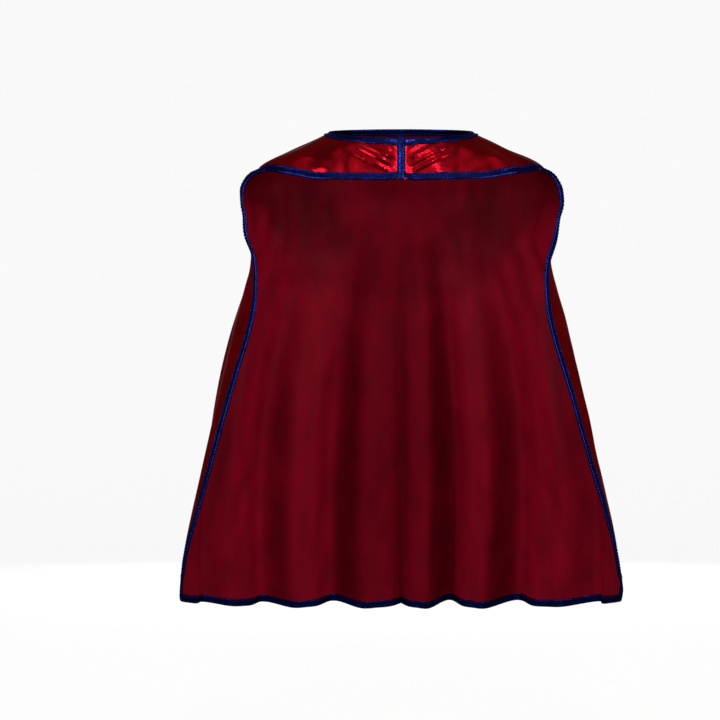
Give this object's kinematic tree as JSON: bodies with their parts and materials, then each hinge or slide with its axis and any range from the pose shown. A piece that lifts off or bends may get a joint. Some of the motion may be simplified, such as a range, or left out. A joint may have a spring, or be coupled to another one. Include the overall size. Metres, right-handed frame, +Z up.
{
  "type": "superhero cape",
  "caption": "Child's foil-cloth costume cape with bound edges, worn round the neck and closed at the front with hook-and-loop tape",
  "frame": {"origin": "centre of the neck opening, level with the neckline at the sides of the neck", "axes": "+Z up, -Y out of the wearer's chest, +X to the wearer's left"},
  "size_m": [0.4604, 0.2521, 0.5155],
  "materials": {
    "cloth": "red metallic foil-faced polyester, dull dark red reverse",
    "binding": "blue metallic foil bias strip, folded over the edge and stitched",
    "tape": "matt nylon hook-and-loop tape"
  },
  "bodies": {
    "shoulders": {"shoulder_cloth": "cloth", "back_neck_binding": "binding", "left_shoulder_edge_binding": "binding", "right_shoulder_edge_binding": "binding"},
    "right_front": {"right_front_cloth": "cloth", "right_front_neck_binding": "binding", "right_front_lower_binding": "binding", "right_front_edge_binding": "binding", "hook_tape": "tape"},
    "left_front": {"left_front_cloth": "cloth", "left_front_neck_binding": "binding", "left_front_lower_binding": "binding", "left_front_edge_binding": "binding", "loop_tape": "tape"},
    "hanging_cloth": {"back_cloth": "cloth", "back_hem_binding": "binding", "left_side_edge_binding": "binding", "right_side_edge_binding": "binding"},
    "right_wing": {"right_wing_cloth": "cloth", "right_wing_edge_binding": "binding", "right_wing_hem_binding": "binding"},
    "left_wing": {"left_wing_cloth": "cloth", "left_wing_edge_binding": "binding", "left_wing_hem_binding": "binding"}
  },
  "joints": [
    {"name": "right_front_fold", "type": "hinge", "parent": "shoulders", "child": "right_front", "pos_m": [-0.0749, -0.0007, 0.0035], "axis": [-0.8092, -0.3059, -0.5017], "range_deg": [0, 80]},
    {"name": "left_front_fold", "type": "hinge", "parent": "shoulders", "child": "left_front", "pos_m": [0.0749, -0.0007, 0.0035], "axis": [-0.8092, 0.3059, 0.5017], "range_deg": [0, 80]},
    {"name": "cape_swing", "type": "hinge", "parent": "shoulders", "child": "hanging_cloth", "pos_m": [0, 0.02, -0.05], "axis": [1, 0, 0], "range_deg": [0, 45]},
    {"name": "right_wing_fold", "type": "hinge", "parent": "hanging_cloth", "child": "right_wing", "pos_m": [-0.2061, -0.0422, -0.3236], "axis": [-0.1372, 0.477, -0.8681], "range_deg": [0, 50]},
    {"name": "left_wing_fold", "type": "hinge", "parent": "hanging_cloth", "child": "left_wing", "pos_m": [0.2061, -0.0422, -0.3236], "axis": [-0.1372, -0.477, 0.8681], "range_deg": [0, 50]}
  ],
  "couplings": [
    {"joint": "left_front_fold", "follows": "right_front_fold", "ratio": 1}
  ]
}
